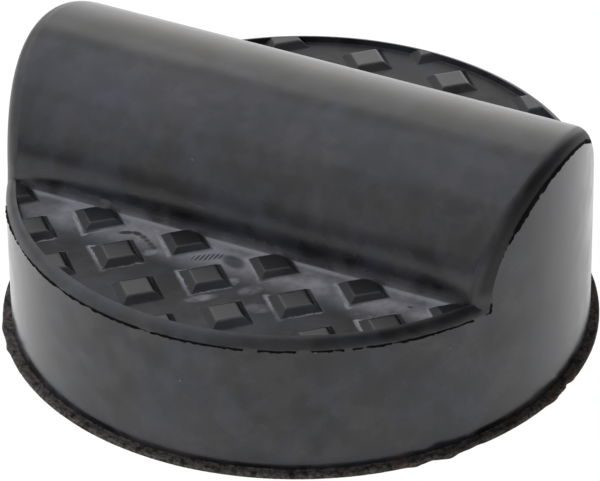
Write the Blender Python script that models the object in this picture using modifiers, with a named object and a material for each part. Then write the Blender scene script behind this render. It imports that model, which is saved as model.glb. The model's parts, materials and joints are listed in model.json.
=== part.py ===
# Rubber pad: a round moulded base with a raised bar across it and a studded well on each side.
# The bar runs along X, the underside rests on z = 0 and the origin is the underside's centre.
# All lengths are in metres.

import math

import bmesh
import bpy
from mathutils import Matrix, Vector

# Base: a round block with rubber flash left standing round its bottom edge
PAD_RADIUS = 0.060
RIM_HEIGHT = 0.0315            # underside to the top of the rim and of the studs
LIP_WIDTH = 0.0020             # how far the flash stands out from the wall
LIP_THICKNESS = 0.00125

# Bar: a half-round ridge whose two ends are flush with the wall
BAR_RADIUS = 0.0265
BAR_AXIS_HEIGHT = 0.0292
BAR_FOOT_ROUND = 0.0008        # hollow corner between the bar and the wells' floor

# Top edge: one rounding follows the rim and climbs over both ends of the bar
EDGE_ROUND = 0.0025
RIM_LAND = 0.0003              # flat left on the rim between its rounding and the well

# Wells: one each side of the bar
WELL_DEPTH = 0.0013
WELL_CORNER_ROUND = 0.0008

# Studs: blunt pyramids set cornerwise on a square grid that is turned 45 degrees to the bar
STUD_PITCH = 0.020             # corner to corner along a row; rows lie half a pitch apart
STUD_BASE_SIDE = 0.0088
STUD_FLANK_INSET = 0.0016      # how far each flank leans in between the floor and the top

# Rubber
RUBBER_COLOUR = (0.028, 0.028, 0.031, 1.0)
RUBBER_ROUGHNESS = 0.5

# Facets
TURN_STEPS = 144
BAR_FACET_ANGLE = math.radians(4)    # the most that one facet of the bar turns from the next
FOOT_STEPS = 3
EDGE_STEPS = 5
CORNER_STEPS = 3
EDGE_PROFILE = 0.5                   # a circular rounding
SMOOTH_ANGLE = math.radians(32)

# Allowances of the blanks and cutters
BLANK_MARGIN = 0.006                 # how far the blanks reach past the surfaces that trim them
CUTTER_OVERRUN = 0.0006              # how far the well cutters run past the floor and the rim
MERGE_DISTANCE = 0.00003             # corners closer than this become one
SAME_LENGTH = 0.00001
UPRIGHT_SLOPE = 0.04                 # a face whose normal rises less than this is upright

# Sizes that follow from the ones above
WELL_FLOOR = RIM_HEIGHT - WELL_DEPTH
WELL_RADIUS = PAD_RADIUS - EDGE_ROUND - RIM_LAND
BAR_TOP = BAR_AXIS_HEIGHT + BAR_RADIUS
STUD_BASE_REACH = STUD_BASE_SIDE / math.sqrt(2)
STUD_GRID = STUD_PITCH / 2


def clear_scene():
    for item in list(bpy.data.objects):
        bpy.data.objects.remove(item, do_unlink=True)


def new_collection(name):
    collection = bpy.data.collections.new(name)
    bpy.context.scene.collection.children.link(collection)
    return collection


def new_object(name, mesh, collection):
    item = bpy.data.objects.new(name, mesh)
    collection.objects.link(item)
    return item


def new_cutter(name, mesh, collection):
    item = new_object(name, mesh, collection)
    item.hide_render = True
    item.display_type = 'WIRE'
    return item


def mesh_from(bm, name):
    mesh = bpy.data.meshes.new(name)
    bm.to_mesh(mesh)
    bm.free()
    return mesh


def bake(item):
    # Replaces an object's mesh by what its modifiers make of it
    bpy.context.view_layer.update()
    evaluated = item.evaluated_get(bpy.context.evaluated_depsgraph_get())
    mesh = bpy.data.meshes.new_from_object(evaluated)
    item.modifiers.clear()
    item.data = mesh


def combine(item, other, operation):
    modifier = item.modifiers.new(other.name, 'BOOLEAN')
    modifier.operation = operation
    modifier.solver = 'EXACT'
    modifier.object = other
    bake(item)


def add_box(bm, low, high):
    low, high = Vector(low), Vector(high)
    size = high - low
    place = Matrix.Translation((low + high) / 2) @ Matrix.Diagonal((size.x, size.y, size.z, 1.0))
    bmesh.ops.create_cube(bm, size=1.0, matrix=place)


def make_blank(collection):
    # Square block up to the rim; the turned envelope trims it later
    bm = bmesh.new()
    reach = PAD_RADIUS + LIP_WIDTH + BLANK_MARGIN
    add_box(bm, (-reach, -reach, -BLANK_MARGIN), (reach, reach, RIM_HEIGHT))
    return new_object('rubber_pad', mesh_from(bm, 'rubber_pad'), collection)


def make_envelope(collection):
    # Turned outer shape: wall and bottom lip
    top = BAR_TOP + BLANK_MARGIN
    lip_radius = PAD_RADIUS + LIP_WIDTH
    profile = [
        (0.0, top),
        (PAD_RADIUS, top),
        (PAD_RADIUS, LIP_THICKNESS),
        (lip_radius, LIP_THICKNESS),
        (lip_radius, 0.0),
        (0.0, 0.0),
    ]
    mesh = bpy.data.meshes.new('envelope')
    edges = [(i, i + 1) for i in range(len(profile) - 1)]
    mesh.from_pydata([(x, 0.0, z) for x, z in profile], edges, [])
    envelope = new_cutter('envelope', mesh, collection)
    turn = envelope.modifiers.new('turn', 'SCREW')
    turn.axis = 'Z'
    turn.angle = math.tau
    turn.steps = TURN_STEPS
    turn.render_steps = TURN_STEPS
    turn.use_merge_vertices = True
    turn.merge_threshold = SAME_LENGTH
    bake(envelope)
    return envelope


def foot_centre():
    # Centre of the hollow corner: its arc touches the bar's circle and the floor
    height = WELL_FLOOR + BAR_FOOT_ROUND
    across = math.sqrt((BAR_RADIUS + BAR_FOOT_ROUND) ** 2 - (height - BAR_AXIS_HEIGHT) ** 2)
    return across, height


def bar_angles(meet):
    # Angles from the crown down to where the hollow corner starts. The bar's facets break in line
    # with the wall's upright facet edges, so that no slivers are left where the two meet.
    marks = [0.0]
    step_angle = math.tau / TURN_STEPS
    steps = int(math.asin(min(1.0, BAR_RADIUS / PAD_RADIUS)) / step_angle)
    for step in range(1, steps + 1):
        angle = math.asin(PAD_RADIUS * math.sin(step * step_angle) / BAR_RADIUS)
        if angle < meet - BAR_FACET_ANGLE / 2:
            marks.append(angle)
    marks.append(meet)
    angles = [0.0]
    for low, high in zip(marks, marks[1:]):
        parts = math.ceil((high - low) / BAR_FACET_ANGLE)
        angles += [low + (high - low) * part / parts for part in range(1, parts + 1)]
    return angles


def bar_outline():
    # Half of the section from the crown down to the foot, then its mirror image
    across, height = foot_centre()
    meet = math.atan2(across, height - BAR_AXIS_HEIGHT)
    half = []
    for angle in bar_angles(meet):
        half.append((BAR_RADIUS * math.sin(angle), BAR_AXIS_HEIGHT + BAR_RADIUS * math.cos(angle)))
    for step in range(1, FOOT_STEPS):
        angle = meet * (1 - step / FOOT_STEPS)
        half.append((across - BAR_FOOT_ROUND * math.sin(angle), height - BAR_FOOT_ROUND * math.cos(angle)))
    # The last facet runs on below the floor, so that it crosses the floor cleanly
    last_y, last_z = half[-1]
    half.append((last_y + 2 * (across - last_y), last_z + 2 * (WELL_FLOOR - last_z)))
    half.append((half[-1][0], WELL_FLOOR - BLANK_MARGIN))
    return half + [(-y, z) for y, z in reversed(half) if y > 0]


def make_bar(collection):
    # Outline drawn flat, extruded and stood up so that it runs along X
    outline = bar_outline()
    curve = bpy.data.curves.new('bar', 'CURVE')
    curve.dimensions = '2D'
    curve.fill_mode = 'BOTH'
    curve.extrude = PAD_RADIUS + BLANK_MARGIN
    spline = curve.splines.new('POLY')
    spline.points.add(len(outline) - 1)
    for point, (y, z) in zip(spline.points, outline):
        point.co = (y, z, 0.0, 1.0)
    spline.use_cyclic_u = True
    drawn = new_object('bar_outline', curve, collection)
    drawn.matrix_world = Matrix(((0, 0, 1, 0), (1, 0, 0, 0), (0, 1, 0, 0), (0, 0, 0, 1)))
    bpy.context.view_layer.update()
    evaluated = drawn.evaluated_get(bpy.context.evaluated_depsgraph_get())
    mesh = bpy.data.meshes.new_from_object(evaluated)
    mesh.transform(drawn.matrix_world)
    bpy.data.objects.remove(drawn)
    bm = bmesh.new()
    bm.from_mesh(mesh)
    bmesh.ops.remove_doubles(bm, verts=bm.verts, dist=SAME_LENGTH)
    bmesh.ops.recalc_face_normals(bm, faces=bm.faces)
    return new_cutter('bar', mesh_from(bm, 'bar'), collection)


def make_well_disc(collection):
    # Round recess with a hollow corner at its floor; the bar fills its middle afterwards
    height = WELL_DEPTH + CUTTER_OVERRUN
    middle = WELL_FLOOR + height / 2
    bm = bmesh.new()
    bmesh.ops.create_cone(bm, cap_ends=True, segments=TURN_STEPS, radius1=WELL_RADIUS,
                          radius2=WELL_RADIUS, depth=height, matrix=Matrix.Translation((0, 0, middle)))
    floor_edges = [edge for edge in bm.edges if all(vert.co.z < middle for vert in edge.verts)]
    bmesh.ops.bevel(bm, geom=floor_edges, offset=WELL_CORNER_ROUND, segments=CORNER_STEPS,
                    profile=EDGE_PROFILE, affect='EDGES')
    return new_cutter('well_disc', mesh_from(bm, 'well_disc'), collection)


def stud_centres():
    # Every grid point whose stud would show in a well, whole or cut by the rim or the bar
    count = math.ceil((WELL_RADIUS + STUD_BASE_REACH) / STUD_GRID)
    centres = []
    for row in range(-count, count + 1):
        for place in range(-count, count + 1):
            x, y = place * STUD_GRID, row * STUD_GRID
            nearest = min(math.hypot(abs(x) - STUD_BASE_REACH, y), math.hypot(x, abs(y) - STUD_BASE_REACH))
            on_grid = (row + place) % 2 == 0
            if on_grid and abs(y) + STUD_BASE_REACH > BAR_RADIUS and nearest < WELL_RADIUS:
                centres.append((x, y))
    return centres


def make_studs(collection):
    # Each stud starts under the floor and ends above the cutter of the well, on the same flanks
    low = -CUTTER_OVERRUN
    high = WELL_DEPTH + 2 * CUTTER_OVERRUN
    lean = math.sqrt(2) * STUD_FLANK_INSET / WELL_DEPTH
    bm = bmesh.new()
    for x, y in stud_centres():
        place = Matrix.Translation((x, y, WELL_FLOOR + (low + high) / 2))
        bmesh.ops.create_cone(bm, cap_ends=True, segments=4, radius1=STUD_BASE_REACH - lean * low,
                              radius2=STUD_BASE_REACH - lean * high, depth=high - low, matrix=place)
    return new_cutter('studs', mesh_from(bm, 'studs'), collection)


def is_wall(face):
    # Facets of the round wall stand upright and lie at its radius
    outward = face.normal.xy.normalized()
    facet_radius = PAD_RADIUS * math.cos(math.pi / TURN_STEPS)
    distance = face.calc_center_median().xy.dot(outward)
    return abs(face.normal.z) < UPRIGHT_SLOPE and abs(distance - facet_radius) < MERGE_DISTANCE


def round_top_edge(item):
    bm = bmesh.new()
    bm.from_mesh(item.data)
    bmesh.ops.remove_doubles(bm, verts=bm.verts, dist=MERGE_DISTANCE)
    edges = []
    for edge in bm.edges:
        walls = sum(is_wall(face) for face in edge.link_faces)
        if walls == 1 and min(vert.co.z for vert in edge.verts) > WELL_FLOOR:
            edges.append(edge)
    bmesh.ops.bevel(bm, geom=edges, offset=EDGE_ROUND, segments=EDGE_STEPS, profile=EDGE_PROFILE,
                    affect='EDGES', clamp_overlap=False)
    bmesh.ops.remove_doubles(bm, verts=bm.verts, dist=MERGE_DISTANCE)
    bm.to_mesh(item.data)
    bm.free()


def rubber_material():
    material = bpy.data.materials.new('black_rubber')
    material.use_nodes = True
    shader = material.node_tree.nodes['Principled BSDF']
    shader.inputs['Base Color'].default_value = RUBBER_COLOUR
    shader.inputs['Roughness'].default_value = RUBBER_ROUGHNESS
    shader.inputs['Metallic'].default_value = 0.0
    return material


def build():
    clear_scene()
    part = new_collection('rubber_pad')
    cutters = new_collection('rubber_pad_cutters')
    pad = make_blank(part)
    recess = make_well_disc(cutters)
    combine(recess, make_studs(cutters), 'DIFFERENCE')
    combine(pad, recess, 'DIFFERENCE')
    combine(pad, make_bar(cutters), 'UNION')
    combine(pad, make_envelope(cutters), 'INTERSECT')
    round_top_edge(pad)
    pad.data.materials.append(rubber_material())
    pad.data.shade_smooth()
    pad.data.set_sharp_from_angle(angle=SMOOTH_ANGLE)


build()
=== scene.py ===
# Round pad of moulded black rubber: a half-round bar across the top, studs in the well on each side
import json
import math

import bmesh
import bpy
from mathutils import Matrix, Vector


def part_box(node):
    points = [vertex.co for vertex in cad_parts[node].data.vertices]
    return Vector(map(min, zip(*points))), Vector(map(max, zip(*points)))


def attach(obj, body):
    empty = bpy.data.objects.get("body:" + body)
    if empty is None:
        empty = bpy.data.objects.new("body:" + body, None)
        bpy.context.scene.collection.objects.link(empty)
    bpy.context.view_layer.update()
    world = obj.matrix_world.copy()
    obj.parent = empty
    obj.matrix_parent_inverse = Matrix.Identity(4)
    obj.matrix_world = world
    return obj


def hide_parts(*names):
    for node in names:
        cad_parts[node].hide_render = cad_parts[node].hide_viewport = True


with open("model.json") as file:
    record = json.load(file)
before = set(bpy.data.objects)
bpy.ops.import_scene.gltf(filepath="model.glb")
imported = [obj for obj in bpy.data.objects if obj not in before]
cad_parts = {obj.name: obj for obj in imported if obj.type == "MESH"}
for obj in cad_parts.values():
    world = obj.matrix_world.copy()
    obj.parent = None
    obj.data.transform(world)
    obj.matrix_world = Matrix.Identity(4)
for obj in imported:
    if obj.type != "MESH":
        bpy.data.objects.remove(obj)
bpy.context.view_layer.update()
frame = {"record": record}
print("frame loaded")

mm = 0.001
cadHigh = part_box("rubber_pad")[1]
seats = {mount["name"]: mount for mount in frame["record"]["mounts"]}

# Sizes that the frame fixes; the rest follow the same mould
padSize = {
    "lipRadius": cadHigh.x,
    "crownHeight": cadHigh.z,
    "rimHeight": seats["stud_seat_front"]["pos_m"][2],
    "wallRadius": cadHigh.x - 2.0 * mm,
    "edgeRound": 2.1 * mm,  # width of the rounding of the rim
    "edgeDrop": 2.5 * mm,  # and its height, down to the seam
    "rimTurn": math.radians(12),  # how far the rim has turned down where its rounding starts
    "edgeTurn": math.radians(75),  # how far the rounding has turned down where it meets the wall
    "endReach": 3.4 * mm,  # the rounding starts farther in on the ends of the bar
    "barRadius": 26.5 * mm,
    "turnSteps": 288,
}
padSize["barAxis"] = padSize["crownHeight"] - padSize["barRadius"]


# tools shared by every piece

def newObject(name, data):
    item = bpy.data.objects.new(name, data)
    bpy.context.scene.collection.objects.link(item)
    return item


def meshObject(name, bm):
    mesh = bpy.data.meshes.new(name)
    bm.to_mesh(mesh)
    bm.free()
    return newObject(name, mesh)


def closedObject(name, bm):
    bmesh.ops.recalc_face_normals(bm, faces=bm.faces)
    return meshObject(name, bm)


def bakeModifiers(item):
    bpy.context.view_layer.update()
    evaluated = item.evaluated_get(bpy.context.evaluated_depsgraph_get())
    mesh = bpy.data.meshes.new_from_object(evaluated)
    item.modifiers.clear()
    item.data = mesh
    return item


def combine(item, other, operation):
    # Boolean with a helper, which is used up
    modifier = item.modifiers.new(other.name, 'BOOLEAN')
    modifier.operation = operation
    modifier.solver = 'EXACT'
    modifier.object = other
    bakeModifiers(item)
    bpy.data.objects.remove(other)


class Value:
    # Output of a node that can be reckoned with like a number; each step adds a math node
    def __init__(self, socket):
        self.socket = socket

    def __add__(self, other):
        return calc('ADD', self, other)

    def __sub__(self, other):
        return calc('SUBTRACT', self, other)

    def __rsub__(self, other):
        return calc('SUBTRACT', other, self)

    def __mul__(self, other):
        return calc('MULTIPLY', self, other)

    def __truediv__(self, other):
        return calc('DIVIDE', self, other)

    def __abs__(self):
        return calc('ABSOLUTE', self)


def treeOf(values):
    return next(value.socket.id_data for value in values if isinstance(value, Value))


def wire(value, socket):
    # A node's output is linked, anything else is set
    if isinstance(value, Value):
        socket.id_data.links.new(value.socket, socket)
    else:
        socket.default_value = value


def addNode(tree, kind, sockets=None, **settings):
    node = tree.nodes.new(kind)
    for name, value in settings.items():
        setattr(node, name, value)
    for name, value in (sockets or {}).items():
        wire(value, node.inputs[name])
    return node


def valuesOf(sockets):
    return {socket.name: Value(socket) for socket in sockets}


def output(tree, kind, sockets=None, out=0, **settings):
    return Value(addNode(tree, kind, sockets, **settings).outputs[out])


def calc(operation, *values, clamp=False):
    sockets = dict(enumerate(values))
    return output(treeOf(values), 'ShaderNodeMath', sockets, operation=operation, use_clamp=clamp)


def largest(first, *others):
    for other in others:
        first = calc('MAXIMUM', first, other)
    return first


def vectorCalc(operation, *values, out=0, **named):
    sockets = {**dict(enumerate(values)), **named}
    return output(treeOf(values), 'ShaderNodeVectorMath', sockets, out, operation=operation)


def coordinates(vector):
    node = addNode(treeOf([vector]), 'ShaderNodeSeparateXYZ', {"Vector": vector})
    return [Value(socket) for socket in node.outputs]


def flattened(vector):
    return vectorCalc('MULTIPLY', vector, (1, 1, 0))


def axisDistance(place):
    # Metres from the pad's upright axis
    return vectorCalc('LENGTH', flattened(place), out=1)


def spread(value, low, high, toLow=0.0, toHigh=1.0):
    # Soft step from low to high
    ends = {"Value": value, "From Min": low, "From Max": high, "To Min": toLow, "To Max": toHigh}
    return output(treeOf(ends.values()), 'ShaderNodeMapRange', ends, interpolation_type='SMOOTHSTEP')


def noise(place, scale, detail=3.0, rough=0.6, distortion=0.0, seed=None, out=0):
    sockets = dict(Vector=place, Scale=scale, Detail=detail, Roughness=rough, Distortion=distortion)
    size = '3D'
    if seed is not None:
        sockets["W"], size = seed, '4D'
    return output(treeOf([place]), 'ShaderNodeTexNoise', sockets, out, noise_dimensions=size)


def newGroup(name, kind, inputs, outputs):
    # kind is the tree type; inputs give a start value, or the socket's kind where it has none
    tree = bpy.data.node_groups.new(name, kind)
    kinds = {float: 'Float', int: 'Int', tuple: 'Vector'}
    for label, start in inputs.items():
        socketKind = kinds.get(type(start), start)
        socket = tree.interface.new_socket(label, in_out='INPUT', socket_type=f"NodeSocket{socketKind}")
        if type(start) in kinds:
            socket.default_value = start
    socketType = 'NodeSocketGeometry' if kind == 'GeometryNodeTree' else 'NodeSocketFloat'
    for label in outputs:
        tree.interface.new_socket(label, in_out='OUTPUT', socket_type=socketType)
    given = valuesOf(tree.nodes.new('NodeGroupInput').outputs)
    return tree, given, tree.nodes.new('NodeGroupOutput').inputs


def useGroup(tree, name, sockets):
    return valuesOf(addNode(tree, 'ShaderNodeGroup', sockets, node_tree=bpy.data.node_groups[name]).outputs)


def newMaterial(name):
    material = bpy.data.materials.new(name)
    material.use_nodes = True
    return material, material.node_tree


def runTree(item, tree, values):
    # Sets the modifier's inputs by identifier, then turns the result into a plain mesh
    modifier = item.modifiers.new(tree.name, 'NODES')
    modifier.node_group = tree
    for socket in tree.interface.items_tree:
        if socket.in_out == 'INPUT' and socket.name in values:
            modifier[socket.identifier] = values[socket.name]
    return bakeModifiers(item)


def softCorner(corner, first, last, reach, steps):
    # Bend from the side of first to the side of last, starting and ending reach away from the corner
    start, middle, end = Vector(first), Vector(corner), Vector(last)
    start = middle + (start - middle).normalized() * reach
    end = middle + (end - middle).normalized() * reach
    points = []
    for step in range(steps + 1):
        part = step / steps
        points.append(tuple(start * (1 - part) ** 2 + middle * 2 * part * (1 - part) + end * part ** 2))
    return points


# studs

studForm = {
    "pitch": 14.142 * mm,  # centre to centre, along the turned grid
    "baseHalf": 4.4 * mm,
    "topHalf": 2.8 * mm,
    "height": 1.3 * mm,
    "shortOfRim": 0.02 * mm,
    "flare": 0.16 * mm,
    # rings of the foot: height over the floor in mm, share of the flare
    "foot": ((-0.6, 2.4), (-0.03, 1.0), (0.1, 0.3), (0.3, 0.0)),
    "topRound": 0.5 * mm,  # how far the worn edge reaches down the flank and in over the top
    "cornerRound": 0.28 * mm,
    "fieldRadius": 63.2 * mm,
    "clearOfBar": 21.0 * mm,
    "wear": 0.07 * mm,
    "seed": 7,
}


def studRings():
    # Height over the floor and half side of each ring, from the buried foot to the flat top
    form = studForm
    lean = (form["baseHalf"] - form["topHalf"]) / form["height"]
    top = form["height"] - form["shortOfRim"]
    rings = [(height * mm, form["baseHalf"] - lean * max(height, 0.0) * mm + form["flare"] * share)
             for height, share in form["foot"]]
    # The worn edge bends from the flank to the top
    edge = form["baseHalf"] - lean * top
    return rings + softCorner((top, edge), (0.0, form["baseHalf"]), (top, 0.0), form["topRound"], 3)


def roundedSquare(half, radius, steps=3):
    # Corners lie on the axes, so the flanks face along the diagonals
    points = []
    reach = (half - radius) * math.sqrt(2)
    for corner in range(4):
        middle = corner * math.pi / 2
        for step in range(steps + 1):
            angle = middle + math.pi / 2 * (step / steps - 0.5)
            points.append((reach * math.cos(middle) + radius * math.cos(angle),
                           reach * math.sin(middle) + radius * math.sin(angle)))
    return points


def makeStud():
    bm = bmesh.new()
    loops = []
    for height, half in studRings():
        outline = roundedSquare(half, studForm["cornerRound"])
        loops.append([bm.verts.new((x, y, height)) for x, y in outline])
    count = len(loops[0])
    for low, high in zip(loops, loops[1:]):
        for place in range(count):
            following = (place + 1) % count
            bm.faces.new((low[place], low[following], high[following], high[place]))
    bm.faces.new(loops[-1])
    bm.faces.new(list(reversed(loops[0])))
    return closedObject("stud", bm)


def studFieldTree():
    tree, given, result = newGroup("studField", 'GeometryNodeTree', {
        "Geometry": 'Geometry', "Stud": 'Object', "Pitch": 0.014, "Field Radius": 0.06, "Clear of Bar": 0.02,
        "Floor Height": 0.03, "Wear": 0.0001, "Seed": 1, "Finish": 'Material',
    }, ["Geometry"])
    rows = 13
    width = given["Pitch"] * (rows - 1)
    grid = output(tree, 'GeometryNodeMeshGrid',
                  {"Size X": width, "Size Y": width, "Vertices X": rows, "Vertices Y": rows})
    lift = output(tree, 'ShaderNodeCombineXYZ', {"Z": given["Floor Height"]})
    turned = output(tree, 'GeometryNodeTransform',
                    {"Geometry": grid, "Translation": lift, "Rotation": (0, 0, math.pi / 4)})
    place = output(tree, 'GeometryNodeInputPosition')
    outside = calc('GREATER_THAN', axisDistance(place), given["Field Radius"])
    underBar = calc('LESS_THAN', abs(coordinates(place)[1]), given["Clear of Bar"])
    kept = output(tree, 'GeometryNodeDeleteGeometry',
                  {"Geometry": turned, "Selection": largest(outside, underBar)}, domain='POINT')
    shape = output(tree, 'GeometryNodeObjectInfo', {"Object": given["Stud"]}, "Geometry")
    placed = output(tree, 'GeometryNodeInstanceOnPoints', {"Points": kept, "Instance": shape})
    solid = output(tree, 'GeometryNodeRealizeInstances', {"Geometry": placed})
    # Each stud is worn a little out of true
    drift = noise(place, 330.0, 1.0, 0.5, seed=given["Seed"], out="Color")
    drift = vectorCalc('MULTIPLY', vectorCalc('SUBTRACT', drift, (0.5, 0.5, 0.62)), (2.0, 2.0, 0.6))
    drift = vectorCalc('SCALE', drift, Scale=given["Wear"])
    moved = output(tree, 'GeometryNodeSetPosition', {"Geometry": solid, "Offset": drift})
    wire(output(tree, 'GeometryNodeSetMaterial', {"Geometry": moved, "Material": given["Finish"]}), result[0])
    return tree


def makeStudField(finish):
    stud = makeStud()
    field = newObject("studField", bpy.data.meshes.new("studField"))
    form = studForm
    runTree(field, studFieldTree(), {
        "Stud": stud, "Pitch": form["pitch"], "Field Radius": form["fieldRadius"],
        "Clear of Bar": form["clearOfBar"], "Floor Height": wellForm["floor"],
        "Wear": form["wear"], "Seed": form["seed"], "Finish": finish,
    })
    bpy.data.objects.remove(stud)
    print("studs laid out:", len(field.data.vertices), "points")
    return field


# body: block, wells, bar, outer wall and the rounding that runs round it all

wellForm = {
    "radius": 57.8 * mm,
    "depth": 1.3 * mm,
    "draft": 0.4 * mm,  # how much narrower the well is at its floor
    "cove": 0.2 * mm,
    "rimRound": 0.1 * mm,
}
wellForm["floor"] = padSize["rimHeight"] - wellForm["depth"]

barForm = {
    "footRound": 0.6 * mm,
    "facet": math.radians(2.0),
    "footSteps": 5,
}

overrun = 6.0 * mm  # how far the helpers run past the surfaces that trim them
mergeGap = 0.02 * mm  # points closer than this become one


def turnProfile(name, profile, steps):
    # Closed turned shape; the first and last points lie on the axis
    bm = bmesh.new()
    corners = [bm.verts.new((radius, 0, height)) for radius, height in profile]
    edges = [bm.edges.new(pair) for pair in zip(corners, corners[1:])]
    bmesh.ops.spin(bm, geom=corners + edges, cent=(0, 0, 0), axis=(0, 0, 1), angle=math.tau, steps=steps,
                   use_merge=True)
    bmesh.ops.remove_doubles(bm, verts=bm.verts, dist=0.002 * mm)
    return closedObject(name, bm)


def baseProfile():
    # From the middle of the underside out, up and in over the rim to the middle of the wells' floor
    form, rim = wellForm, padSize["rimHeight"]
    outer = padSize["wallRadius"] + overrun
    edge, middle = (form["radius"], rim), (0.0, form["floor"])
    foot = (form["radius"] - form["draft"], form["floor"])
    profile = [(0.0, -overrun), (outer, -overrun), (outer, rim)]
    profile += softCorner(edge, (outer, rim), foot, form["rimRound"], 3)
    profile += softCorner(foot, edge, middle, form["cove"], 3)
    return profile + [middle]


def barAngles(meet):
    # The bar's facets break in line with the wall's, so no slivers are left where the two meet
    marks = [0.0]
    stepAngle = math.tau / padSize["turnSteps"]
    count = int(math.asin(padSize["barRadius"] / padSize["wallRadius"]) / stepAngle)
    for step in range(1, count + 1):
        angle = math.asin(padSize["wallRadius"] * math.sin(step * stepAngle) / padSize["barRadius"])
        if angle < meet - barForm["facet"] / 2:
            marks.append(angle)
    marks.append(meet)
    angles = [0.0]
    for low, high in zip(marks, marks[1:]):
        parts = math.ceil((high - low) / barForm["facet"])
        angles += [low + (high - low) * part / parts for part in range(1, parts + 1)]
    return angles


def barOutline():
    radius, axis, foot = padSize["barRadius"], padSize["barAxis"], barForm["footRound"]
    height = wellForm["floor"] + foot
    across = math.sqrt((radius + foot) ** 2 - (height - axis) ** 2)
    meet = math.atan2(across, height - axis)
    half = [(radius * math.sin(angle), axis + radius * math.cos(angle)) for angle in barAngles(meet)]
    for step in range(1, barForm["footSteps"]):
        angle = meet * (1 - step / barForm["footSteps"])
        half.append((across - foot * math.sin(angle), height - foot * math.cos(angle)))
    lastY, lastZ = half[-1]
    half.append((lastY + 2 * (across - lastY), lastZ + 2 * (wellForm["floor"] - lastZ)))
    half.append((half[-1][0], wellForm["floor"] - overrun))
    return half + [(-y, z) for y, z in reversed(half) if y > 0]


def makeBar():
    bm = bmesh.new()
    reach = padSize["wallRadius"] + overrun
    corners = [bm.verts.new((-reach, y, z)) for y, z in barOutline()]
    face = bm.faces.new(corners)
    raised = bmesh.ops.extrude_face_region(bm, geom=[face])
    moved = [part for part in raised["geom"] if isinstance(part, bmesh.types.BMVert)]
    bmesh.ops.translate(bm, vec=(2 * reach, 0, 0), verts=moved)
    return closedObject("bar", bm)


def isWall(face):
    outward = face.normal.xy.normalized()
    facetRadius = padSize["wallRadius"] * math.cos(math.pi / padSize["turnSteps"])
    distance = face.calc_center_median().xy.dot(outward)
    return abs(face.normal.z) < 0.04 and abs(distance - facetRadius) < 0.02 * mm


def wallReach(y, fromWall):
    # How far out along the bar the wall stands at y, on the flat facets that it is turned with
    wall, turn = padSize["wallRadius"], math.tau / padSize["turnSteps"]
    offset = math.asin(y / wall) % turn - turn / 2
    facet = wall * math.cos(turn / 2) / math.cos(offset)
    return math.sqrt((facet - fromWall) ** 2 - y ** 2)


def roundPlace(part, climb):
    # Distance in from the wall and depth under the top, at a part of the way through the rounding
    drop, reach = padSize["edgeDrop"], padSize["edgeRound"]
    start = reach + (padSize["endReach"] - reach) * climb
    slope = math.tan(padSize["rimTurn"] * (1 - climb))
    # The knee is where the slopes of the two ends of the rounding cross
    knee = (drop - start * slope) / (math.tan(padSize["edgeTurn"]) - slope)
    kneeDepth = (start - knee) * slope
    middle = 2 * part * (1 - part)
    return start * (1 - part) ** 2 + knee * middle, kneeDepth * middle + drop * part ** 2


def drawInRound(bm):
    # A plain rounding would run into the wall without an edge; the moulded one meets it at an angle
    wall, reach, slack = padSize["wallRadius"], padSize["edgeRound"], 0.15 * mm
    climbFrom, climbHeight = 2.0 * mm, 8.0 * mm  # where the rounding changes on its way up the bar
    for vert in bm.verts:
        outward = vert.co.xy
        fromWall = wall - outward.length
        barWay = Vector((vert.co.y, vert.co.z - padSize["barAxis"]))
        depths = (padSize["rimHeight"] - vert.co.z, padSize["barRadius"] - barWay.length)
        depth = max(depths)
        if not (-slack < fromWall < reach + 0.01 * mm and -0.01 * mm < depth < reach + slack):
            continue
        part = min(math.atan2(max(reach - fromWall, 0.0), reach - depth) / (math.pi / 2), 1.0)
        onWall = fromWall < 0.03 * mm and depth > reach / 2
        if onWall:
            part = 1.0
        climb = min(max((vert.co.z - padSize["rimHeight"] - climbFrom) / climbHeight, 0.0), 1.0)
        climb = climb ** 2 * (3 - 2 * climb)
        if part < 0.01 and climb == 0.0:
            continue
        newFromWall, newDepth = roundPlace(part, climb)
        if depths[0] > depths[1]:
            vert.co.z = padSize["rimHeight"] - newDepth
            if not onWall:
                vert.co.xy = outward.normalized() * (wall - newFromWall)
        else:
            y, z = barWay.normalized() * (padSize["barRadius"] - newDepth)
            vert.co = (math.copysign(wallReach(y, newFromWall), vert.co.x), y, z + padSize["barAxis"])


def roundTopEdge(item):
    # One rounding follows the rim and climbs over both ends of the bar
    bm = bmesh.new()
    bm.from_mesh(item.data)
    bmesh.ops.remove_doubles(bm, verts=bm.verts, dist=mergeGap)
    edges = []
    for edge in bm.edges:
        walls = sum(isWall(face) for face in edge.link_faces)
        if walls == 1 and min(vert.co.z for vert in edge.verts) > wellForm["floor"]:
            edges.append(edge)
    bmesh.ops.bevel(bm, geom=edges, offset=padSize["edgeRound"], segments=8, profile=0.5, affect='EDGES',
                    clamp_overlap=False)
    bmesh.ops.remove_doubles(bm, verts=bm.verts, dist=mergeGap)
    drawInRound(bm)
    bm.to_mesh(item.data)
    bm.free()


def makeBody(finish):
    wall, top = padSize["wallRadius"], padSize["crownHeight"] + overrun
    body = turnProfile("padBody", baseProfile(), padSize["turnSteps"])
    combine(body, makeStudField(finish), 'UNION')
    combine(body, makeBar(), 'UNION')
    outside = turnProfile("outside", [(0, top), (wall, top), (wall, 0), (0, 0)], padSize["turnSteps"])
    combine(body, outside, 'INTERSECT')
    roundTopEdge(body)
    body.data.materials.clear()
    body.data.materials.append(finish)
    body.data.shade_smooth()
    body.data.set_sharp_from_angle(angle=math.radians(24))
    body.modifiers.new("weighted", 'WEIGHTED_NORMAL').keep_sharp = True
    bakeModifiers(body)
    print("body moulded:", len(body.data.polygons), "faces")
    return body


# flash: the ragged rubber that the mould squeezed out

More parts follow.
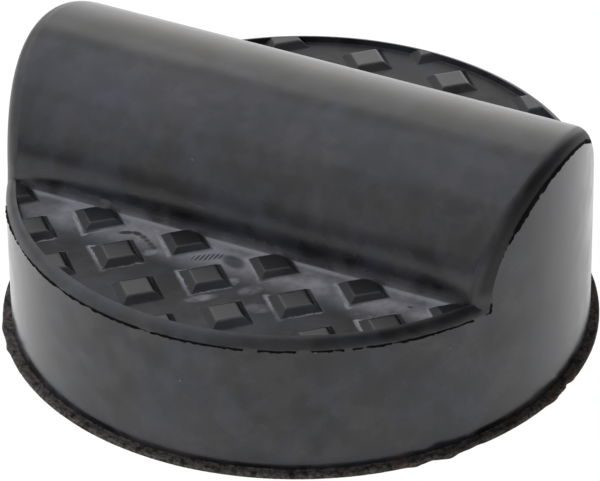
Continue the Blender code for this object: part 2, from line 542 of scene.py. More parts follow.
partingForm = {
    "steps": 2200,
    "root": 0.12 * mm,
    "reach": 0.3 * mm,
    "variation": 0.6 * mm,
    "thickness": 0.28 * mm,
    "roughness": 0.7 * mm,
    "grain": 900.0,
    "stretch": 42.0,
    "growth": 4000.0,  # how much thicker it gets per metre of added reach
    "seed": 3,
    "trimmed": -1.8 * mm,  # added to the reach where the flash is gone
    "thin": -0.22 * mm,
    "gaps": ((17.4, 19.6), (27.2, 29.6), (36.2, 37.5), (110.0, 131.0), (-72.0, -57.5), (-160.0, -150.0)),
    "thinParts": ((-26.5, -22.0), (-19.5, -15.0), (-4.0, -1.3), (45.0, 46.5), (62.0, 66.0), (148.0, 160.0)),
    # along the bar's right end, in mm: from Y, to Y, what is added to the reach; cut off elsewhere
    "rightEnd": ((-25.0, -19.6, -0.3), (-19.6, -18.0, -0.05), (-18.0, -8.0, 0.28), (-8.0, 10.0, 0.1),
                 (10.0, 12.5, 0.5), (12.5, 14.0, 0.0)),
}

lipForm = {
    "steps": 1500,
    "root": 0.35 * mm,
    "thickness": 1.22 * mm,
    "roughness": 0.17 * mm,
    "variation": 0.07 * mm,
    "shortOfBox": 0.13 * mm,
    "grain": 1300.0,
    "seed": 11,
    # torn places: azimuth and half width in degrees, how far they stand out or in, in mm
    "torn": ((89.0, 0.9, -0.5), (83.0, 1.6, 0.35), (62.5, 1.1, -0.25), (56.0, 1.6, 0.8), (52.5, 0.9, -0.3),
             (49.0, 1.2, 0.45), (-55.4, 2.0, 0.25), (-48.5, 1.2, 0.35), (140.0, 2.0, 0.4),
             (-150.0, 1.5, -0.4)),
    "pathSteps": 1440,
    "stretch": 60.0,
}


def seamPath():
    # Round the wall below the rim, and over both ends of the bar, where the rounding meets the wall
    wall, drop, barSteps, wallSteps = padSize["wallRadius"], padSize["edgeDrop"], 120, 240
    low = padSize["rimHeight"] - drop
    radius = padSize["barRadius"] - drop
    start = math.acos((low - padSize["barAxis"]) / radius)
    across = radius * math.sin(start)
    points = []
    for side in (1, -1):
        for step in range(barSteps):
            angle = start * (1 - 2 * step / barSteps)
            y, z = radius * math.sin(angle) * side, padSize["barAxis"] + radius * math.cos(angle)
            points.append((side * math.sqrt(wall * wall - y * y), y, z))
        turn = math.asin(across / wall)
        for step in range(wallSteps):
            angle = -side * turn - side * (math.pi - 2 * turn) * step / wallSteps
            x, y = wall * math.cos(angle), wall * math.sin(angle)
            points.append((x * side, y, low))
    return points


def pathObject(name, points, bulges):
    bm = bmesh.new()
    corners = [bm.verts.new(point) for point in points]
    for place, corner in enumerate(corners):
        bm.edges.new((corner, corners[(place + 1) % len(corners)]))
    item = meshObject(name, bm)
    item.data.attributes.new("bulge", 'FLOAT', 'POINT').data.foreach_set("value", bulges)
    return item


def flashTree(name, section):
    # section: (outward, sideways, how much of the raggedness it takes) for each corner
    tree, given, result = newGroup(name, 'GeometryNodeTree', {
        "Path": 'Geometry', "Steps": 1000, "Root": 0.0001, "Reach": 0.0003, "Variation": 0.0003,
        "Thickness": 0.0003, "Growth": 0.0, "Roughness": 0.0001, "Grain": 300.0, "Stretch": 40.0,
        "Widest": 0.062, "Seed": 1, "Finish": 'Material',
    }, ["Geometry"])

    def store(geometry, label, value, kind):
        return output(tree, 'GeometryNodeStoreNamedAttribute',
                      {"Geometry": geometry, "Name": label, "Value": value}, data_type=kind, domain='POINT')

    def stored(label, kind):
        return output(tree, 'GeometryNodeInputNamedAttribute', {"Name": label}, data_type=kind)

    path = output(tree, 'GeometryNodeMeshToCurve', {"Mesh": given["Path"]})
    even = output(tree, 'GeometryNodeResampleCurve', {"Curve": path, "Count": given["Steps"]})
    place = output(tree, 'GeometryNodeInputPosition')
    tangent = output(tree, 'GeometryNodeInputTangent')
    outward = vectorCalc('NORMALIZE', flattened(place))
    sideways = vectorCalc('NORMALIZE', vectorCalc('CROSS_PRODUCT', outward, tangent))
    marked = store(store(even, "seamPlace", place, 'FLOAT_VECTOR'), "seamSide", sideways, 'FLOAT_VECTOR')
    # The section is a tiny circle; each of its corners is then put where it belongs
    circle = output(tree, 'GeometryNodeCurvePrimitiveCircle', {"Resolution": len(section), "Radius": 0.00001})
    numbered = store(circle, "corner", output(tree, 'GeometryNodeInputIndex'), 'FLOAT')
    tube = output(tree, 'GeometryNodeCurveToMesh', {"Curve": marked, "Profile Curve": numbered})
    corner, bulge = stored("corner", 'FLOAT'), stored("bulge", 'FLOAT')
    seam, side = stored("seamPlace", 'FLOAT_VECTOR'), stored("seamSide", 'FLOAT_VECTOR')
    away = vectorCalc('NORMALIZE', flattened(seam))
    parts = [0.0, 0.0, 0.0]
    for number, shares in enumerate(section):
        here = calc('COMPARE', corner, float(number), 0.1)
        for part, share in enumerate(shares):
            if share:
                parts[part] = here * share + parts[part]
    out, across, ragged = parts
    slow = noise(seam, given["Stretch"], 2.0, 0.5, seed=given["Seed"])
    fine = noise(seam, given["Grain"], 3.0, 0.5, seed=given["Seed"])
    lively = ((slow - 0.5) * 2.6 + (fine - 0.5) * 1.5) * given["Variation"]
    tip = given["Reach"] + lively + bulge
    # Corners at the root stay in the wall, the others go out to the tip; where it reaches far it is thick
    distance = out * (tip + given["Root"]) - given["Root"]
    growth = largest(bulge * given["Growth"] + 1.0, 0.3)
    height = across * (given["Thickness"] * growth)
    # Fine lumps all over the part that shows
    away, side = vectorCalc('SCALE', away, Scale=distance), vectorCalc('SCALE', side, Scale=height)
    spot = vectorCalc('ADD', seam, vectorCalc('ADD', away, side))
    lumps = noise(spot, given["Grain"], 3.0, 0.5, seed=given["Seed"], out="Color")
    lumps = vectorCalc('SUBTRACT', lumps, (0.5, 0.5, 0.5))
    spot = vectorCalc('ADD', spot, vectorCalc('SCALE', lumps, Scale=ragged * given["Roughness"]))
    # Nothing reaches past the pad's own width or under its foot
    widest = output(tree, 'ShaderNodeCombineXYZ', {"X": given["Widest"], "Y": given["Widest"], "Z": 1.0})
    negative = vectorCalc('MULTIPLY', widest, (-1.0, -1.0, 0.0))
    spot = vectorCalc('MAXIMUM', vectorCalc('MINIMUM', spot, widest), negative)
    put = output(tree, 'GeometryNodeSetPosition', {"Geometry": tube, "Position": spot})
    real = output(tree, 'GeometryNodeRealizeInstances', {"Geometry": put})
    wire(output(tree, 'GeometryNodeSetMaterial', {"Geometry": real, "Material": given["Finish"]}), result[0])
    return tree


def growFlash(item, section, form, settings):
    # The form's own values go in under the tree's names for them, the settings beside them
    values = {name.capitalize(): value for name, value in form.items()}
    runTree(item, flashTree(item.name, section), {**values, "Widest": padSize["lipRadius"], **settings})
    print(item.name, "grown:", len(item.data.polygons), "faces")
    bm = bmesh.new()
    bm.from_mesh(item.data)
    bmesh.ops.recalc_face_normals(bm, faces=bm.faces)
    bm.to_mesh(item.data)
    bm.free()
    for layer in ("seamPlace", "seamSide", "corner", "bulge"):
        item.data.attributes.remove(item.data.attributes[layer])
    item.data.shade_smooth()
    item.data.set_sharp_from_angle(angle=math.radians(50))
    return item


def seamBulge(x, y, z):
    # What is added to the flash's reach at a point of the seam
    form = partingForm
    if z > padSize["rimHeight"]:
        for start, end, added in form["rightEnd"]:
            if x > 0 and start * mm <= y < end * mm:
                return added * mm
        return form["trimmed"]
    azimuth = math.degrees(math.atan2(x, -y))
    for name, parts in (("trimmed", form["gaps"]), ("thin", form["thinParts"])):
        if any(start < azimuth < end for start, end in parts):
            return form[name]
    return 0.0


def makePartingFlash(finish):
    points = seamPath()
    seam = pathObject("partingFlash", points, [seamBulge(*point) for point in points])
    section = [(0.0, -0.6, 0.0), (0.55, -0.5, 0.6), (1.0, -0.15, 1.0), (0.95, 0.3, 1.0), (0.0, 0.6, 0.0)]
    return growFlash(seam, section, partingForm, {"Finish": finish})


def lipBulge(azimuth):
    # What is added to the lip's reach at its torn places
    total = 0.0
    for middle, halfWidth, extra in lipForm["torn"]:
        gap = (math.degrees(azimuth) - middle + 180.0) % 360.0 - 180.0
        total += extra * mm * math.exp(-(gap / halfWidth) ** 2)
    return total


def makeBottomFlash(finish):
    wall, count = padSize["wallRadius"], lipForm["pathSteps"]
    turns = [math.tau * step / count for step in range(count)]
    points = [(wall * math.sin(turn), -wall * math.cos(turn), 0.0) for turn in turns]
    ring = pathObject("bottomFlash", points, [lipBulge(turn) for turn in turns])
    section = [(0.0, 0.02, 0.0), (0.55, 0.0, 0.0), (0.93, 0.0, 0.5), (1.0, 0.12, 1.0), (1.0, 0.4, 1.0),
               (0.98, 0.72, 1.0), (0.93, 0.9, 1.0), (0.8, 0.97, 1.0), (0.62, 1.0, 1.0), (0.45, 0.98, 1.0),
               (0.28, 1.0, 1.0), (0.14, 1.06, 0.6), (0.0, 1.1, 0.0)]
    reach = padSize["lipRadius"] - wall - lipForm["shortOfBox"]
    return growFlash(ring, section, lipForm, {"Reach": reach, "Finish": finish})


# finishes

rubberFinish = {
    "colour": (0.0045, 0.0046, 0.0056),
    # deep black, painted as shade on the studs' flanks and near tops
    "cleanBlack": (0.0015, 0.0015, 0.0018),
    "gloss": 1.5,  # index of refraction
    "specular": 0.5,
    "roughness": 0.18,
    "smudgeRoughness": 0.09,
    "barRoughness": 0.23,
    "edgeRoughness": 0.42,
    "floorRoughness": 0.6,
    "flankRoughness": 0.6,
    "rightFlankRoughness": 0.15,
    "topRoughness": 0.34,
    "farTopRoughness": 0.3,
    "hazeColour": (0.056, 0.062, 0.088),
    "warmHaze": (0.078, 0.066, 0.068),
    "hazeShare": 0.38,
    "dustColour": (0.40, 0.40, 0.43),
    "dustShare": 0.62,
    "footHaze": 0.24,  # dust on the foot of the bar
    "footLineShare": 0.35,
    "haloShare": 0.7,
    "haloWidth": 0.45 * mm,
    "haloLeftWidth": 0.65 * mm,  # added on a stud's left
    "haloWander": 0.45 * mm,
    "haloRaggedness": 0.8 * mm,
    "smearShare": 0.5,
    "scuffShare": 0.03,
    "speckShare": 0.2,
    "grainDepth": 0.02 * mm,
    "grainStrength": 0.35,
}

# Where each mask starts and where it is full, in mm
zones = {
    "nearSide": (-20.0, -24.0),  # by Y
    "dustStrip": (40.0, 31.5),  # by distance beside the bar's middle line
    "footLine": (27.9, 27.2),
    "haloReach": (52.0, 38.0),
    "lowSide": (27.6, 27.0),
    "smearSide": (28.2, 27.6),
    "inWell": (0.1, -0.1),  # by radius, from the well's wall
    "onFloor": (0.4, 0.12),  # by height over the wells' floor
    "haloFloor": (0.4, 0.15),
    "lowHaze": (3.4, 0.2),
    "flanksFrom": (0.05, 0.25),
    "topsFrom": (-0.13, -0.04),  # by height over the rim
    "topsUpTo": (1.0, 0.0),
    "flanksUpTo": (0.2, 0.0),
    "seamClimb": (0.5, 3.0),
    "curveClimb": (1.5, 8.0),
    "scuffSide": (-38.0, -42.0),  # by Y
    "seamSide": (20.0, 40.0),  # by X
    "studFoot": (0.3, 0.1),  # by distance from a stud's foot line
    "haloInside": (-0.1, 0.1),
    "lowEnds": (59.0, 54.0),  # by radius
    "wallOnly": (59.8, 59.95),
    "seamFrom": (58.4, 59.4),
    "seamUpTo": (59.99, 59.96),
    "edgeFrom": (57.2, 57.9),
    "edgeUpTo": (59.98, 59.9),
    "curveUpTo": (59.9, 59.5),
}

# How noise breaks a mask up: start, full, and what is left at the least
patchy = {
    "strip": (0.3, 0.62, 0.45),
    "patches": (0.3, 0.6, 0.35),
    "dust": (0.2, 0.6, 0.62),
    "strokes": (0.35, 0.7, 0.0),
    "rubbed": (0.3, 0.55, 0.7),
    "halo": (0.34, 0.62, 0.3),
    "smears": (0.3, 0.65, 0.4),
    "scuffs": (0.3, 0.6, 0.3),
    "haze": (0.42, 0.6, 0.0),
}

flashFinish = {
    "dark": (0.003, 0.003, 0.0035),
    "pale": (0.10, 0.090, 0.084),
    "brown": (0.10, 0.055, 0.03),
    "roughness": 0.82,
    "grain": 1300.0,
    "grainDepth": 0.1 * mm,
    "grainStrength": 0.6,
    "gloss": 1.5,
    "specular": 0.12,
    "stainSide": (20.0 * mm, 40.0 * mm),  # by X
    # the darker root inside paleFrom, next to the wall, is partly the black rubber and partly painted shade
    # in the junction
    "paleFrom": 60.0 * mm,  # radius past which the lip's torn outer face is paler
    "seamBrown": 0.08,
    "lipBrown": 0.35,
}


def grainGroup():
    # Fine moulded grain, slow waves and smudges; used by both finishes
    tree, given, result = newGroup("rubberGrain", 'ShaderNodeTree', {
        "Place": (0, 0, 0), "Grain Scale": 2500.0, "Wave Scale": 120.0, "Wave Share": 5.0,
    }, ["Height", "Smudge", "Speck"])
    place = given["Place"]
    fine, wave = noise(place, given["Grain Scale"], 2.0), noise(place, given["Wave Scale"], 2.0, 0.5)
    wire(wave * given["Wave Share"] + fine, result["Height"])
    cloud, broad = noise(place, 170.0, 4.0, 0.55, 0.15), noise(place, 55.0, 3.0, 0.55, 0.2)
    wire(spread(broad, 0.42, 0.6) * 0.5 + spread(cloud, 0.4, 0.62) * 0.5, result["Smudge"])
    dots = valuesOf(addNode(tree, 'ShaderNodeTexVoronoi', {"Vector": place, "Scale": 330.0}).outputs)
    chosen = output(tree, 'ShaderNodeTexWhiteNoise', {"Vector": dots["Position"]})
    wire(calc('GREATER_THAN', chosen, 0.975) * spread(dots["Distance"], 0.1, 0.04), result["Speck"])


def studDistanceGroup():
    # Metres from the nearest stud's foot line; Left and Right are 1 beyond the stud's left and right side,
    # and the flanks are 1 on the sloping faces
    tree, given, result = newGroup("studDistance", 'ShaderNodeTree', {
        "Place": (0, 0, 0), "Pitch": studForm["pitch"], "Half Side": studForm["baseHalf"],
    }, ["Distance", "Left", "Right", "Left Flank", "Front Flank", "Right Flank"])
    turned = output(tree, 'ShaderNodeVectorRotate', {"Vector": given["Place"], "Angle": math.pi / 4},
                    rotation_type='Z_AXIS')
    offsets = []
    for along in coordinates(turned)[:2]:
        steps = along / given["Pitch"]
        offsets.append((steps - calc('ROUND', steps)) * given["Pitch"])
    wire(largest(abs(offsets[0]), abs(offsets[1])) - given["Half Side"], result["Distance"])
    for side, label in ((-1.0, "Left"), (1.0, "Right")):
        wire(spread(offsets[1] * side - given["Half Side"], -0.8 * mm, 0.0), result[label])
    for label, axis, side in (("Left Flank", 1, -1.0), ("Front Flank", 0, 1.0), ("Right Flank", 1, 1.0)):
        inside = largest(abs(offsets[1 - axis]), studForm["topHalf"])
        wire(spread(offsets[axis] * side - inside, -0.15 * mm, 0.1 * mm), result[label])


def ovalMarkGroup():
    # Soft oval smear at a place on a flat face, 1 in its middle
    tree, given, result = newGroup("ovalMark", 'ShaderNodeTree', {
        "Along": 0.0, "Across": 0.0, "Middle Along": 0.0, "Middle Across": 0.0, "Turn": 0.0,
        "Half Length": 0.001, "Half Width": 0.0005,
    }, ["Mark"])
    along, across = given["Along"] - given["Middle Along"], given["Across"] - given["Middle Across"]
    cosine, sine = calc('COSINE', given["Turn"]), calc('SINE', given["Turn"])
    first = (along * cosine + across * sine) / given["Half Length"]
    second = (across * cosine - along * sine) / given["Half Width"]
    wire(spread(first * first + second * second, 1.2, 0.2), result["Mark"])


# Each mark: two places in mm, turn in degrees, half length and half width in mm, strength

# rubbed through the dust of the near well, by X and Y
floorMarks = (
    (-22.6, -32.1, 28, 1.8, 0.75, 1.0),
    (-20.4, -31.4, -8, 1.5, 0.8, 1.0),
    (-18.6, -32.0, -35, 1.0, 0.8, 0.9),
    (-17.3, -32.8, -35, 0.8, 0.7, 0.9),
    (-16.1, -33.6, -40, 0.8, 0.7, 0.8),
    (-14.9, -34.5, -45, 1.0, 0.8, 0.8),
    (2.0, -32.0, -25, 3.4, 2.1, 0.85),
    (8.0, -29.6, 0, 0.5, 0.35, 0.7),
    (40.7, -30.8, 0, 0.7, 0.5, 0.8),
)
# where fine slanted strokes cross the dust, by X and Y
hatchPlace = (-3.4, -32.7, 35, 4.4, 1.3, 1.0)
# dusty patches farther out in the near well, by X and Y
dustPatches = (
    (5.0, -38.6, 50, 2.6, 1.5, 0.75),
    (2.4, -46.5, 42, 3.6, 1.3, 0.7),
    (-14.6, -36.0, 60, 2.2, 1.6, 0.8),
    (9.8, -39.6, 50, 3.0, 1.8, 0.5),
    (14.0, -44.8, 20, 3.2, 1.8, 0.35),
    (-38.5, -33.0, 40, 4.5, 3.6, 0.5),
    (34.0, -38.0, 10, 3.5, 1.6, 0.4),
)
# pale scuffs on the near wall, by X and Z
wallScuffs = (
    (2.5, 14.2, 90, 4.8, 0.16, 0.9),
    (32.0, 15.4, -30, 3.9, 0.2, 0.5),
    (-12.0, 9.0, 25, 3.0, 0.14, 0.35),
    (18.0, 21.5, 8, 2.6, 0.13, 0.3),
)
# pale smears on the front of the bar, by X and Z
barSmears = (
    (-31.4, 31.6, 15, 2.8, 1.0, 0.6),
    (-10.6, 31.0, 0, 1.4, 0.35, 0.6),
    (10.2, 31.0, 0, 1.2, 0.3, 0.6),
    (30.2, 31.0, 0, 1.4, 0.35, 0.6),
    (-10.2, 36.5, -4, 2.8, 0.2, 0.14),
    (-24.0, 35.5, 10, 2.0, 0.3, 0.15),
)


def marksOn(first, second, marks):
    # The strongest of several marks at a place
    total = 0.0
    for along, across, turn, length, width, strength in marks:
        values = (first, second, along * mm, across * mm, math.radians(turn), length * mm, width * mm)
        mark = useGroup(treeOf(values), "ovalMark", dict(enumerate(values)))["Mark"]
        total = largest(mark * strength, total)
    return total


def mixColour(factor, first, second):
    colours = [(*value, 1.0) if isinstance(value, tuple) else value for value in (first, second)]
    sockets = {0: factor, 6: colours[0], 7: colours[1]}
    return output(treeOf(sockets.values()), 'ShaderNodeMix', sockets, 2, data_type='RGBA')


def zone(value, name, base=0.0):
    low, high = zones[name]
    return spread(value, base + low * mm, base + high * mm)


def finishShader(tree, finish, colour, rough, grain):
    bump = {"Height": grain["Height"], "Distance": finish["grainDepth"], "Strength": finish["grainStrength"]}
    shader = tree.nodes["Principled BSDF"].inputs
    wire(colour, shader["Base Color"])
    wire(rough, shader["Roughness"])
    wire(output(tree, 'ShaderNodeBump', bump), shader["Normal"])
    wire(finish["gloss"], shader["IOR"])
    wire(finish["specular"], shader["Specular IOR Level"])


def rubberMaterial():
    finish, floor, rim = rubberFinish, wellForm["floor"], padSize["rimHeight"]
    material, tree = newMaterial("padRubber")
    place = output(tree, 'ShaderNodeTexCoord', out="Object")
    x, y, z = coordinates(place)
    grain = useGroup(tree, "rubberGrain", {"Place": place})
    stud = useGroup(tree, "studDistance", {"Place": place})
    smudge, radius, beside = grain["Smudge"], axisDistance(place), abs(y)
    patch, cloud = noise(place, 115.0), noise(place, 430.0, 4.0)
    nearSide = zone(y, "nearSide")
    inWell = zone(radius, "inWell", wellForm["radius"])
    onFloor = zone(z, "onFloor", floor) * inWell
    onTops = zone(z, "topsFrom", rim) * zone(z, "topsUpTo", rim) * inWell

    # Dust lies in the corner between the bar and the near well, and thins out towards the rim
    strip = zone(beside, "dustStrip") * spread(patch, *patchy["strip"])
    dust = largest(strip, marksOn(x, y, dustPatches) * spread(cloud, *patchy["patches"]))
    dust = dust * spread(cloud, *patchy["dust"])
    dust = calc('MULTIPLY_ADD', zone(beside, "footLine"), finish["footLineShare"], dust, clamp=True)
    # Rubbed marks and fine strokes let the black show again
    lines = {"Vector": place, "Scale": 390.0, "Distortion": 0.8, "Detail": 1.0}
    stroke = output(tree, 'ShaderNodeTexWave', lines, "Fac", bands_direction='X')
    strokes = marksOn(x, y, (hatchPlace,)) * spread(stroke, *patchy["strokes"])
    rubbed = largest(marksOn(x, y, floorMarks) * spread(cloud, *patchy["rubbed"]), strokes)
    clean = calc('SUBTRACT', 1.0, rubbed, clamp=True)
    dust = dust * clean * onFloor * (nearSide * 0.8 + 0.2)

    # Pale worn line round the foot of each stud, broader on its left
    gap = (cloud - 0.5) * finish["haloWander"] + stud["Distance"]
    gap = (noise(place, 1500.0, 2.0) - 0.5) * finish["haloRaggedness"] + gap
    outer = stud["Left"] * finish["haloLeftWidth"] + finish["haloWidth"]
    halo = zone(gap, "haloInside") * spread(gap, outer, outer * 0.25)
    halo = halo * spread(noise(place, 150.0, 4.0), *patchy["halo"]) * (stud["Right"] * -0.8 + 1.0)
    halo = halo * zone(beside, "haloReach") * nearSide * inWell * zone(z, "haloFloor", floor)

    # Haze low on the front of the bar, smears on it, scuffs on the wall
    low = zone(z, "lowHaze", floor) * zone(radius, "lowEnds") * zone(beside, "lowSide") * nearSide
    low = low * (smudge * 0.8 + 0.6) * finish["footHaze"]
    onBar = zone(beside, "smearSide") * nearSide
    smears = marksOn(x, z, barSmears) * onBar * spread(cloud, *patchy["smears"])
    onWall = zone(radius, "wallOnly") * zone(y, "scuffSide")
    scuffs = marksOn(x, z, wallScuffs) * onWall * spread(cloud, *patchy["scuffs"])
    haze = mixColour(spread(noise(place, 70.0), *patchy["haze"]), finish["hazeColour"], finish["warmHaze"])
    colour = mixColour(smudge * finish["hazeShare"], finish["colour"], haze)

    # Painted shade: the studs' right flanks, their left flanks and the near tops are mixed towards deep black
    # where neighbouring studs and the bar shade them; the left and front flanks are also matt
    onFlanks = zone(z, "flanksFrom", floor) * zone(z, "flanksUpTo", rim) * zone(stud["Distance"], "studFoot")
    onFlanks = onFlanks * inWell
    rightFlank = onFlanks * stud["Right Flank"] * nearSide
    mattFlanks = onFlanks * largest(stud["Left Flank"], stud["Front Flank"])
    # The rounding beside the flash, up the bar's right end, is mixed towards deep black as well
    seamDarkening = zone(x, "seamSide") * zone(z, "seamClimb", rim)
    seamDarkening = seamDarkening * zone(radius, "seamFrom") * zone(radius, "seamUpTo")
    black = largest(rightFlank, onTops * nearSide * 0.7, onFlanks * stud["Left Flank"] * 0.8, seamDarkening)
    colour = mixColour(black, colour, finish["cleanBlack"])
    pale = largest(dust * finish["dustShare"], halo * finish["haloShare"], low, smears * finish["smearShare"],
                   scuffs * finish["scuffShare"], grain["Speck"] * finish["speckShare"])
    colour = mixColour(pale, colour, finish["dustColour"])

    tops = nearSide * (finish["topRoughness"] - finish["farTopRoughness"]) + finish["farTopRoughness"]
    onCurve = zone(z, "curveClimb", rim) * zone(radius, "curveUpTo")
    edgeBand = zone(radius, "edgeFrom") * zone(radius, "edgeUpTo")
    rough = smudge * finish["smudgeRoughness"] + finish["roughness"]
    for mask, level in ((onCurve, finish["barRoughness"]), (edgeBand, finish["edgeRoughness"]),
                        (seamDarkening, finish["flankRoughness"]), (mattFlanks, finish["flankRoughness"]),
                        (rightFlank, finish["rightFlankRoughness"]), (onTops, tops),
                        (onFloor, finish["floorRoughness"]), (scuffs, finish["floorRoughness"])):
        rough = mask * (level - rough) + rough
    finishShader(tree, finish, colour, calc('MINIMUM', pale * 0.4 + rough, 0.9), grain)
    return material


def flashMaterial(name, paleFrom, brownShare):
    finish = flashFinish
    material, tree = newMaterial(name)
    place = output(tree, 'ShaderNodeTexCoord', out="Object")
    grain = useGroup(tree, "rubberGrain", {"Place": place, "Grain Scale": finish["grain"]})
    speckle = noise(place, finish["grain"], 3.0, 0.7)
    radius = (speckle - 0.5) * (1.4 * mm) + axisDistance(place)
    # Painted shade in part: inside paleFrom the flash keeps its dark colour, so the lip's root at the wall is
    # darker where the junction is shaded
    outer = spread(radius, paleFrom - 0.3 * mm, paleFrom + 0.3 * mm)
    speckle = spread(speckle, 0.36, 0.64, 0.35) * spread(noise(place, 620.0, 5.0, 0.8), 0.4, 0.5, 0.2)
    stain = spread(noise(place, 140.0, 2.0), 0.55, 0.68) * spread(coordinates(place)[0], *finish["stainSide"])
    colour = mixColour(outer * speckle, finish["dark"], finish["pale"])
    colour = mixColour(stain * brownShare, colour, finish["brown"])
    finishShader(tree, finish, colour, grain["Smudge"] * 0.1 + finish["roughness"], grain)
    return material


# studio

studio = {
    "floorSize": 8.0,
    "floorHeight": -0.03 * mm,
    "floorGrey": 0.5,
    "tableGlow": 0.85,  # light that comes up through the white table
    "whiteShare": 0.93,  # how much of the floor's white doesn't depend on the light, seen directly
    "mirroredShare": 0.2,  # and seen in a gloss
    # soft boxes: azimuth and elevation in degrees, distance, width, height, added brightness, colour
    "softBoxes": (
        ("back", -165, 26, 2.6, 2.3, 2.4, 0.55, (1.03, 1.0, 0.93)),
        ("backLeft", -115, 26, 2.6, 2.4, 2.4, 0.55, (1.0, 1.0, 1.0)),
        ("left", -66, 32, 2.6, 2.3, 1.8, 0.4, (0.95, 1.0, 1.2)),
        ("upperLeft", -85, 68, 2.6, 2.2, 1.8, 0.55, (0.95, 1.0, 1.25)),
    ),
    # low dark cards with soft edges: azimuth, elevation, distance, half width, half height, grey
    "darkCards": (
        ("frontCard", -8, 2, 1.6, 1.6, 0.58, 0.1),
        ("sideCard", -108, 13, 1.6, 0.75, 0.45, 0.15),
    ),
    # dark curtain on the right; its top edge and where it fades in and out are in degrees
    "curtain": {
        "radius": 1.7, "grey": 0.06, "top": 89.5,
        "frontFade": (-5.0, 48.0), "backFade": (176.0, 160.0),
        "footFade": (1.0, 14.0), "topFade": (89.0, 74.0),
    },
}

cameraPlace = {
    "azimuth": math.radians(28.0629),
    "elevation": math.radians(32.5017),
    "roll": math.radians(-0.7077),
    "distance": 1.0047,
    "lens": 292.54,
    "sensor": 36.0,
    "aimHeight": 0.015,
    "shiftRight": -0.042 * mm,
    "shiftUp": 1.278 * mm,
}


def directionFrom(azimuth, elevation):
    level = math.cos(elevation)
    return Vector((math.sin(azimuth) * level, -math.cos(azimuth) * level, math.sin(elevation)))


def standing(side, back, place):
    # X points to the side, Z points back
    matrix = Matrix((side, back.cross(side), back)).transposed().to_4x4()
    matrix.translation = place
    return matrix


def facingPad(azimuth, elevation, distance):
    # Turned towards the pad, with X level
    back = directionFrom(math.radians(azimuth), math.radians(elevation))
    return standing(Vector((0, 0, 1)).cross(back).normalized(), back, back * distance)


def bareMaterial(name):
    # Material without a shader yet, and the socket that takes one
    material, tree = newMaterial(name)
    tree.nodes.clear()
    return material, tree, tree.nodes.new('ShaderNodeOutputMaterial').inputs[0]


def flatSheet(name, half, height=0.0):
    bm, place = bmesh.new(), Matrix.Translation((0, 0, height))
    bmesh.ops.create_grid(bm, x_segments=1, y_segments=1, size=half, matrix=place)
    return meshObject(name, bm)


def makeFloor():
    floor = flatSheet("floor", studio["floorSize"] / 2, studio["floorHeight"])
    material, tree, surface = bareMaterial("floorWhite")
    diffuse = output(tree, 'ShaderNodeBsdfDiffuse', {"Color": (*(studio["floorGrey"],) * 3, 1.0)})
    glow = output(tree, 'ShaderNodeEmission', {"Strength": studio["tableGlow"]})
    lit = output(tree, 'ShaderNodeAddShader', {0: diffuse, 1: glow})
    white = output(tree, 'ShaderNodeEmission')
    rays = valuesOf(addNode(tree, 'ShaderNodeLightPath').outputs)
    mirrored = rays["Is Glossy Ray"] + rays["Is Transmission Ray"]
    seen = mirrored * studio["mirroredShare"] + rays["Is Camera Ray"] * studio["whiteShare"]
    wire(output(tree, 'ShaderNodeMixShader', {0: seen, 1: lit, 2: white}), surface)
    floor.data.materials.append(material)


def hangCloth(item, grey, cover):
    # Dark cloth that thins out to nothing; cover builds the mask of where it hangs
    material, tree, surface = bareMaterial(item.name)
    spot = output(tree, 'ShaderNodeTexCoord', out="Object")
    clear = output(tree, 'ShaderNodeBsdfTransparent')
    cloth = output(tree, 'ShaderNodeBsdfDiffuse', {"Color": (grey, grey, grey, 1.0)})
    wire(output(tree, 'ShaderNodeMixShader', {0: cover(spot), 1: clear, 2: cloth}), surface)
    item.data.materials.append(material)
    item.visible_camera = False


def makeDarkCard(name, azimuth, elevation, distance, halfWidth, halfHeight, grey):
    card = flatSheet(name, 1.0)
    size = Matrix.Diagonal((halfWidth, halfHeight, 1, 1))
    card.matrix_world = facingPad(azimuth, elevation, distance) @ size

    def cover(spot):
        fades = [spread(abs(along), 1.0, 0.05) for along in coordinates(spot)[:2]]
        return fades[0] * fades[1]

    hangCloth(card, grey, cover)


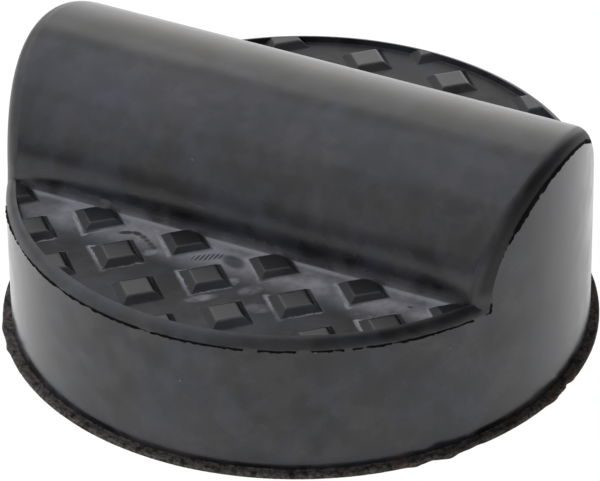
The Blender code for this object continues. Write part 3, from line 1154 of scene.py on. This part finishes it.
def makeCurtain():
    # Part of a sphere round the right side; its cover follows azimuth and elevation
    spec, columns, rows = studio["curtain"], 48, 24
    bm = bmesh.new()
    first, last = spec["frontFade"][0], spec["backFade"][0]
    grid = []
    heights = [math.radians(spec["top"]) * row / rows for row in range(rows + 1)]
    for column in range(columns + 1):
        azimuth = math.radians(first + (last - first) * column / columns)
        grid.append([bm.verts.new(directionFrom(azimuth, height) * spec["radius"]) for height in heights])
    for left, right in zip(grid, grid[1:]):
        for row in range(rows):
            bm.faces.new((left[row], right[row], right[row + 1], left[row + 1]))
    curtain = meshObject("curtain", bm)

    def cover(spot):
        x, y, z = coordinates(vectorCalc('NORMALIZE', spot))
        azimuth = calc('DEGREES', calc('ARCTAN2', x, y * -1.0))
        elevation = calc('DEGREES', calc('ARCSINE', z))
        total = spread(azimuth, *spec["frontFade"])
        for value, fade in ((azimuth, "backFade"), (elevation, "footFade"), (elevation, "topFade")):
            total = total * spread(value, *spec[fade])
        return total

    hangCloth(curtain, spec["grey"], cover)


def makeSoftBox(name, azimuth, elevation, distance, width, height, brightness, colour):
    lamp = bpy.data.lights.new(name, 'AREA')
    lamp.shape = 'RECTANGLE'
    lamp.size, lamp.size_y = width, height
    lamp.energy = brightness * math.pi * width * height
    lamp.color = colour
    item = newObject(name, lamp)
    item.matrix_world = facingPad(azimuth, elevation, distance)
    item.visible_camera = False


def makeStudio():
    makeFloor()
    world = bpy.data.worlds.new("surround")
    bpy.context.scene.world = world
    world.use_nodes = True
    wire((1.0, 1.0, 1.0, 1.0), world.node_tree.nodes["Background"].inputs["Color"])
    for card in studio["darkCards"]:
        makeDarkCard(*card)
    makeCurtain()
    for box in studio["softBoxes"]:
        makeSoftBox(*box)
    print("studio set")


def makeCamera():
    spec = cameraPlace
    back = directionFrom(spec["azimuth"], spec["elevation"])
    level = Vector((math.cos(spec["azimuth"]), math.sin(spec["azimuth"]), 0))
    right = level * math.cos(spec["roll"]) + back.cross(level) * math.sin(spec["roll"])
    aim = Vector((0, 0, spec["aimHeight"])) + right * spec["shiftRight"] + back.cross(right) * spec["shiftUp"]
    camera = bpy.data.cameras.new("camera")
    camera.lens = spec["lens"]
    camera.sensor_width = spec["sensor"]
    camera.clip_start, camera.clip_end = 0.05, 20.0
    item = newObject("camera", camera)
    item.matrix_world = standing(right, back, aim + back * spec["distance"])
    bpy.context.scene.camera = item


# build

for makeGroup in (grainGroup, studDistanceGroup, ovalMarkGroup):
    makeGroup()
rubber = rubberMaterial()
# the seam's flash has no pale face
seamRubber = flashMaterial("seamRubber", 2 * padSize["lipRadius"], flashFinish["seamBrown"])
lipRubber = flashMaterial("lipRubber", flashFinish["paleFrom"], flashFinish["lipBrown"])

body = makeBody(rubber)
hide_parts("rubber_pad")
parting = makePartingFlash(seamRubber)
bottom = makeBottomFlash(lipRubber)
for piece in (body, parting, bottom):
    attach(piece, "root")

makeStudio()
makeCamera()
bpy.context.scene.view_settings.view_transform = 'Standard'
